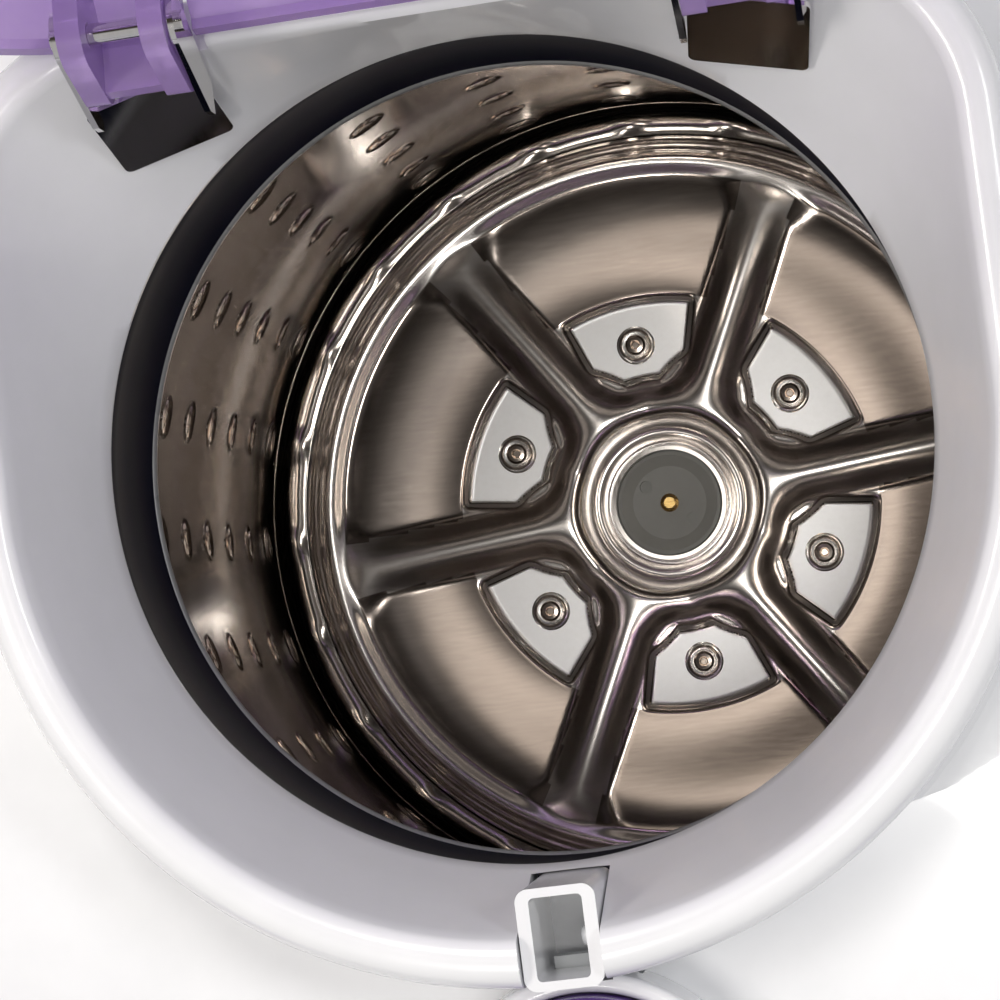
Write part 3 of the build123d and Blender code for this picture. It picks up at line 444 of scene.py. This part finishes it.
def makeWall():
    shape = wallShape
    radius, steps = machine["drumRadius"], shape["cellSteps"]
    pitch = 2 * pi * radius / shape["columns"]
    halfWidth, halfHeight = pitch / 2, shape["rowPitch"] / 2

    mesh = spun([(ringRadius, -depth) for ringRadius, depth in shape["dimple"]] + [(halfWidth, 0)], steps)
    for vert in mesh.verts:
        if hypot(vert.co.x, vert.co.y) > halfWidth - 0.1:
            reach = max(abs(vert.co.x), abs(vert.co.y))
            vert.co = (halfWidth * vert.co.x / reach, halfHeight * vert.co.y / reach, 0)
    oneCell = mesh.verts[:] + mesh.edges[:] + mesh.faces[:]
    for row in range(shape["rows"]):
        for column in range(shape["columns"]):
            if row or column:
                copied = bmesh.ops.duplicate(mesh, geom=oneCell)["geom"]
                bmesh.ops.translate(mesh, vec=(column * pitch, row * shape["rowPitch"], 0),
                                    verts=[part for part in copied if isinstance(part, bmesh.types.BMVert)])
    highest = (shape["rows"] - 0.5) * shape["rowPitch"]
    topEdges = [edge for edge in mesh.edges if all(abs(vert.co.y - highest) < 0.01 for vert in edge.verts)]
    raised = bmesh.ops.extrude_edge_only(mesh, edges=topEdges)["geom"]
    bmesh.ops.translate(mesh, vec=(0, shape["top"] - shape["firstRow"] - highest, 0),
                        verts=[part for part in raised if isinstance(part, bmesh.types.BMVert)])
    for vert in mesh.verts:
        angle = vert.co.x / radius + radians(shape["phase"])
        reach = radius - vert.co.z
        vert.co = (reach * cos(angle), reach * sin(angle), shape["firstRow"] + vert.co.y)
    bmesh.ops.remove_doubles(mesh, verts=mesh.verts, dist=0.02)
    bmesh.ops.recalc_face_normals(mesh, faces=mesh.faces)
    faceInwards(mesh)
    piece = finished("drumWall", mesh, "drum", ["wallSteel"], ["drum_wall"], 40)
    thicken(piece, shape["gauge"])


def makeWallFoot():
    shape = wallShape
    radius, bend = machine["drumRadius"], shape["footRadius"]
    bottom = machine["pad"] - shape["footDrop"]
    start = shape["firstRow"] - shape["rowPitch"] / 2
    profile = [(radius, start), (radius, (start + bottom + bend) / 2)]
    turns = [radians(shape["footBendStep"] * step) for step in range(shape["footBendSteps"])]
    profile += [(radius - bend + bend * cos(turn), bottom + bend - bend * sin(turn)) for turn in turns]
    mesh = spun(profile, shape["footSteps"])
    dimpleTurn = radians(shape["footDimpleTurn"])
    pitch = 360 / shape["columns"]
    fadeFrom, fadeOver = shape["footDimpleReach"]
    for vert in mesh.verts:
        reach = hypot(vert.co.x, vert.co.y)
        turn = atan2(bottom + bend - vert.co.z, reach - radius + bend)
        offset = (degrees(atan2(vert.co.y, vert.co.x)) - shape["phase"] + pitch / 2) % pitch - pitch / 2
        away = hypot(radians(offset) * reach, (turn - dimpleTurn) * bend)
        push = shape["footDimple"] * (1 - ease((away - shape["footDimpleFlat"]) / shape["footDimpleOver"]))
        push *= ease((reach - radius + bend + fadeFrom) / fadeOver)
        outwards = Vector((vert.co.x / reach * cos(turn), vert.co.y / reach * cos(turn), -sin(turn)))
        vert.co += outwards * push
    faceInwards(mesh)
    piece = finished("drumWallFoot", mesh, "drum", ["wallSteel"], ["drum_wall"], None)
    thicken(piece, shape["gauge"])


makeWall()
makeWallFoot()
print("drum wall made")

# drum neck: a dark satin collar with a light lip under it
neckShape = {
    "steps": 288,
    "inner": [(83.9, 577.2), (84.5, 580), (85.2, 586), (85.5, 594), (85.3, 602), (84.7, 608)],
    "outer": [(85.2, 610.2), (86.6, 609.8), (87.6, 606), (87.8, 594), (87.4, 580), (86.6, 577.2)],
    "lip": [(83.3, 575.4), (83.2, 576.2), (83.6, 576.9), (84.6, 577.1), (86.6, 577.0), (86.6, 574.2),
            (84.2, 574.2)],
}


def makeNeck():
    collar = spun(neckShape["inner"] + neckShape["outer"], neckShape["steps"], True)
    finished("drumNeck", collar, "drum", ["neckDark"], ["drum_neck"], 50)
    lip = spun(neckShape["lip"], neckShape["steps"], True)
    finished("drumLip", lip, "drum", ["lipGrey"], ["drum_neck"], 50)


makeNeck()
print("neck made")

# floor bolts: a pressed washer and a domed socket head, six times
boltShape = {
    "steps": 48,
    "washer": [(0.0, 0.35), (4.2, 0.35), (4.9, 0.6), (5.3, 1.0), (5.6, 0.9), (5.8, 0.35), (6.2, 0.1),
               (6.3, 0.0)],
    "head": [(0.0, 1.3), (1.0, 1.3), (1.25, 1.6), (1.3, 2.7), (1.55, 2.95), (2.6, 2.85), (3.3, 2.3),
             (3.6, 1.5), (3.6, 0.3)],
}


def makeBolts():
    mesh = bmesh.new()
    for number in range(machine["spokes"]):
        turn = radians(machine["firstBolt"] + 360 / machine["spokes"] * number)
        place = Vector((machine["boltCircle"] * cos(turn), machine["boltCircle"] * sin(turn), machine["pad"]))
        for profile, index in ((boltShape["washer"], 1), (boltShape["head"], 0)):
            one = spun(profile, boltShape["steps"])
            bmesh.ops.translate(one, vec=place, verts=one.verts)
            for face in one.faces:
                face.material_index = index
            data = bpy.data.meshes.new("boltTurn")
            one.to_mesh(data)
            one.free()
            mesh.from_mesh(data)
            bpy.data.meshes.remove(data)
    finished("floorBolts", mesh, "drum", ["boltSteel", "edgeSteel"], ["floor_bolts"], 30)


makeBolts()
print("bolts made")

# top cover: a bowl from the round mouth up to the D-shaped crest, then the crest and the deck
coverShape = {
    "steps": 240,
    "rimRadius": 102.0,
    "rimBack": 90.0,
    "rimCorner": 42.0,
    "halfWidth": 190.0,
    "corner": 62.0,
    "bowlSteps": 10,
    "bowl": [(82.0, 619.2), (-9.6, 655.6)],
    "lip": [(84.2, 617.2), (82.9, 617.0), (82.1, 617.6)],
    "crest": [(-8.8, 656.9), (-7.4, 657.7), (-5.8, 658.0), (-4.0, 657.9), (-2.3, 657.2), (-1.0, 655.9),
              (-0.2, 654.0), (0.0, 651.0), (0.0, 634.0), (0.5, 631.6), (2.0, 630.3), (4.5, 630.0)],
    "edge": [(15.0, 630.0), (11.0, 629.4), (7.0, 627.8), (4.0, 625.3), (1.6, 621.6), (0.3, 617.4),
             (0.0, 614.0), (0.0, 606.2)],
    "underEdge": [(2.6, 606.2), (3.4, 617.0), (7.0, 623.5), (15.0, 626.8)],
    "underRim": [(8.0, 626.8), (2.0, 622.0)],
    "underLip": [(87.5, 615.8), (84.6, 615.8)],
    "seamRadius": 312.0,
    "seamCentre": 227.0,
    "seamSteps": 360,
    "front": {"place": (0, -90, 615), "size": (420, 260, 40)},
    "cutBottom": 580.0,
    "cutTop": 650.0,
    "rimGap": 0.4,
    "socket": {"place": (1.0, -93.0, 645.0), "size": (15.6, 19.6, 60.0)},
    "hinge": {"place": (56.0, 92.0, 664.0), "size": (24.6, 40.0, 19.0)},
}


def roundedReach(angle, halfX, halfY, corner):
    across, along = cos(angle), sin(angle)
    coreX, coreY = halfX - corner, halfY - corner
    sideways = halfX / max(abs(across), 1e-9)
    if sideways * abs(along) <= coreY:
        return sideways
    endways = halfY / max(abs(along), 1e-9)
    if endways * abs(across) <= coreX:
        return endways
    toCentre = coreX * abs(across) + coreY * abs(along)
    return toCentre + sqrt(max(0.0, toCentre ** 2 - coreX ** 2 - coreY ** 2 + corner ** 2))


def rimReach(angle, grow):
    shape = coverShape
    if sin(angle) <= 0:
        return shape["rimRadius"] + grow
    return roundedReach(angle, shape["rimRadius"] + grow, shape["rimBack"] + grow, shape["rimCorner"] + grow)


def squareReach(angle, shrink):
    shape = coverShape
    half = shape["halfWidth"] - shrink
    return roundedReach(angle, half, half, shape["corner"] - shrink)


def coverRings():
    shape = coverShape
    (mouthRadius, mouthHeight), (crestGrow, crestHeight) = shape["bowl"]
    rings = [(lambda angle, r=radius: r, height) for radius, height in shape["lip"]]
    for step in range(shape["bowlSteps"] + 1):
        part = step / shape["bowlSteps"]
        rings.append((lambda angle, part=part: mouthRadius + (rimReach(angle, crestGrow) - mouthRadius) * part,
                      mouthHeight + (crestHeight - mouthHeight) * part))
    rings += [(lambda angle, grow=grow: rimReach(angle, grow), height) for grow, height in shape["crest"]]
    rings += [(lambda angle, shrink=shrink: squareReach(angle, shrink), height)
              for shrink, height in shape["edge"] + shape["underEdge"]]
    rings += [(lambda angle, grow=grow: rimReach(angle, grow), height) for grow, height in shape["underRim"]]
    rings += [(lambda angle, r=radius: r, height) for radius, height in shape["underLip"]]
    return rings


def block(place, size):
    mesh = bmesh.new()
    bmesh.ops.create_cube(mesh, size=1)
    bmesh.ops.scale(mesh, vec=size, verts=mesh.verts)
    bmesh.ops.translate(mesh, vec=place, verts=mesh.verts)
    return mesh


def loose(mesh, name):
    data = bpy.data.meshes.new(name)
    mesh.to_mesh(data)
    mesh.free()
    piece = bpy.data.objects.new(name, data)
    bpy.context.scene.collection.objects.link(piece)
    return piece


def carve(piece, cutter):
    cut = piece.modifiers.new("cut", "BOOLEAN")
    cut.operation = "DIFFERENCE"
    cut.solver = "EXACT"
    cut.object = cutter
    bpy.context.view_layer.update()
    data = bpy.data.meshes.new_from_object(piece.evaluated_get(bpy.context.evaluated_depsgraph_get()))
    piece.modifiers.clear()
    piece.data = data
    bpy.data.objects.remove(cutter)


def frontCutter():
    # everything in front of the curved seam, apart from the rim
    shape = coverShape
    bottom, top, edge = shape["cutBottom"], shape["cutTop"], shape["seamRadius"]
    front = loose(block(shape["front"]["place"], shape["front"]["size"]), "frontCutter")
    disc = spun([(0, bottom), (edge, bottom), (edge, top), (0, top)], shape["seamSteps"])
    bmesh.ops.translate(disc, vec=(0, shape["seamCentre"], 0), verts=disc.verts)
    carve(front, loose(disc, "disc"))
    rim = spun([(0, bottom), (1, bottom), (1, top), (0, top)], shape["steps"])
    for vert in rim.verts:
        if hypot(vert.co.x, vert.co.y) > 0.5:
            angle = atan2(vert.co.y, vert.co.x)
            reach = rimReach(angle, shape["rimGap"])
            vert.co = (reach * cos(angle), reach * sin(angle), vert.co.z)
    carve(front, loose(rim, "rim"))
    return front


def makeCover():
    shape = coverShape
    rings = coverRings()
    mesh = spun([(index + 1, 0) for index in range(len(rings))], shape["steps"], True)
    for vert in mesh.verts:
        angle = atan2(vert.co.y, vert.co.x)
        reach, height = rings[round(hypot(vert.co.x, vert.co.y)) - 1]
        vert.co = (reach(angle) * cos(angle), reach(angle) * sin(angle), height)
    bmesh.ops.recalc_face_normals(mesh, faces=mesh.faces)
    if mesh.calc_volume(signed=True) < 0:
        bmesh.ops.reverse_faces(mesh, faces=mesh.faces)
    piece = loose(mesh, "coverBlank")
    carve(piece, frontCutter())
    for side, box in ((1, shape["socket"]), (1, shape["hinge"]), (-1, shape["hinge"])):
        x, y, z = box["place"]
        carve(piece, loose(block((side * x, y, z), box["size"]), "cutter"))
    cover = bmesh.new()
    cover.from_mesh(piece.data)
    bpy.data.objects.remove(piece)
    finished("topCover", cover, "cabinet", ["whiteCover"], ["top_cover"], 32)


makeCover()
print("top cover made")

# camera, surroundings, lights and ground
camera = {
    "place": (72.1, -37.1, 1205.3),
    "aim": (-4.23, -9.94, 619.0),
    "upHint": (0.132, 0.991, 0.029),
    "lens": 108.0,
    "sensor": 36.0,
    "near": 0.01,
}


def placeCamera():
    data = bpy.data.cameras.new("camera")
    data.lens = camera["lens"]
    data.sensor_width = camera["sensor"]
    data.clip_start = camera["near"]
    piece = bpy.data.objects.new("camera", data)
    bpy.context.scene.collection.objects.link(piece)
    place, aim = Vector(camera["place"]) * mm, Vector(camera["aim"]) * mm
    backwards = (place - aim).normalized()
    right = Vector(camera["upHint"]).cross(backwards).normalized()
    up = backwards.cross(right)
    piece.matrix_world = Matrix.Translation(place) @ Matrix((right, up, backwards)).transposed().to_4x4()
    bpy.context.scene.camera = piece
    bpy.context.scene.view_settings.view_transform = "Standard"


surroundings = {
    "strength": 0.45,
    "ground": (0.72, 0.72, 0.74),
    "horizon": (1.0, 1.0, 1.02),
    "above": (0.95, 0.92, 0.9),
    "overhead": (0.1, 0.08, 0.065),
    "bandLow": 0.90,
    "bandHigh": 0.955,
    "groundAt": 0.45,
    "horizonAt": 0.52,
}

lights = {
    "overhead": {"turn": 146, "tilt": 4.3, "away": 2.0, "size": (0.16, 0.28),
                 "power": 0.28, "colour": (1.0, 0.93, 0.85)},
    "padLight": {"turn": -40, "tilt": 5.5, "away": 2.0, "size": (0.24, 0.24),
                 "power": 5.0, "colour": (1.0, 0.98, 0.95)},
    "leftWindow": {"turn": 178, "tilt": 36, "away": 1.7, "size": (0.3, 0.8),
                   "power": 10.0, "colour": (1.0, 0.94, 0.87)},
    "backWindow": {"turn": 100, "tilt": 30, "away": 1.7, "size": (0.6, 0.22),
                   "power": 6.5, "colour": (1.0, 0.97, 0.94)},
    "rightPanel": {"turn": 10, "tilt": 40, "away": 1.7, "size": (0.25, 0.6),
                   "power": 5.0, "colour": (0.97, 0.98, 1.0)},
    "frontPanel": {"turn": 255, "tilt": 26, "away": 1.8, "size": (0.5, 0.16),
                   "power": 4.0, "colour": (1.0, 0.97, 0.93)},
}


def makeSurroundings():
    world = bpy.data.worlds.new("studio")
    world.use_nodes = True
    bpy.context.scene.world = world
    tree = world.node_tree
    place = tree.nodes.new("ShaderNodeTexCoord").outputs["Generated"]
    split = tree.nodes.new("ShaderNodeSeparateXYZ")
    tree.links.new(place, split.inputs[0])
    ramp = tree.nodes.new("ShaderNodeValToRGB")
    height = calc(tree, "ADD", calc(tree, "MULTIPLY", split.outputs["Z"], 0.5), 0.5)
    tree.links.new(height, ramp.inputs["Fac"])
    stops = ramp.color_ramp.elements
    for stop, label in zip(stops, ("ground", "horizon")):
        stop.position = surroundings[label + "At"]
        stop.color = (*surroundings[label], 1)
    low, high = (0.5 + surroundings[label] / 2 for label in ("bandLow", "bandHigh"))
    stops.new(low).color = (*surroundings["above"], 1)
    stops.new(high).color = (*surroundings["overhead"], 1)
    tree.links.new(ramp.outputs["Color"], tree.nodes["Background"].inputs["Color"])
    tree.nodes["Background"].inputs["Strength"].default_value = surroundings["strength"]


def makeLight(name, light):
    data = bpy.data.lights.new(name, "AREA")
    data.shape = "RECTANGLE"
    data.size, data.size_y = light["size"]
    data.energy = light["power"]
    data.color = light["colour"]
    piece = bpy.data.objects.new(name, data)
    bpy.context.scene.collection.objects.link(piece)
    turn, tilt = radians(light["turn"]), radians(light["tilt"])
    outwards = Vector((sin(tilt) * cos(turn), sin(tilt) * sin(turn), cos(tilt)))
    place = Vector((0, 0, machine["mouth"] * mm)) + outwards * light["away"]
    across = Vector((-sin(turn), cos(turn), 0))
    piece.matrix_world = Matrix.Translation(place) @ Matrix(
        (outwards.cross(across), across, outwards)).transposed().to_4x4()


def makeGround():
    mesh = bmesh.new()
    bmesh.ops.create_grid(mesh, x_segments=8, y_segments=8, size=4000)
    data = bpy.data.meshes.new("ground")
    bmesh.ops.scale(mesh, vec=(mm, mm, mm), verts=mesh.verts)
    mesh.to_mesh(data)
    mesh.free()
    data.materials.append(finishes["ground"])
    piece = bpy.data.objects.new("ground", data)
    bpy.context.scene.collection.objects.link(piece)


placeCamera()
makeSurroundings()
for lightName, light in lights.items():
    makeLight(lightName, light)
makeGround()
print("stage made")
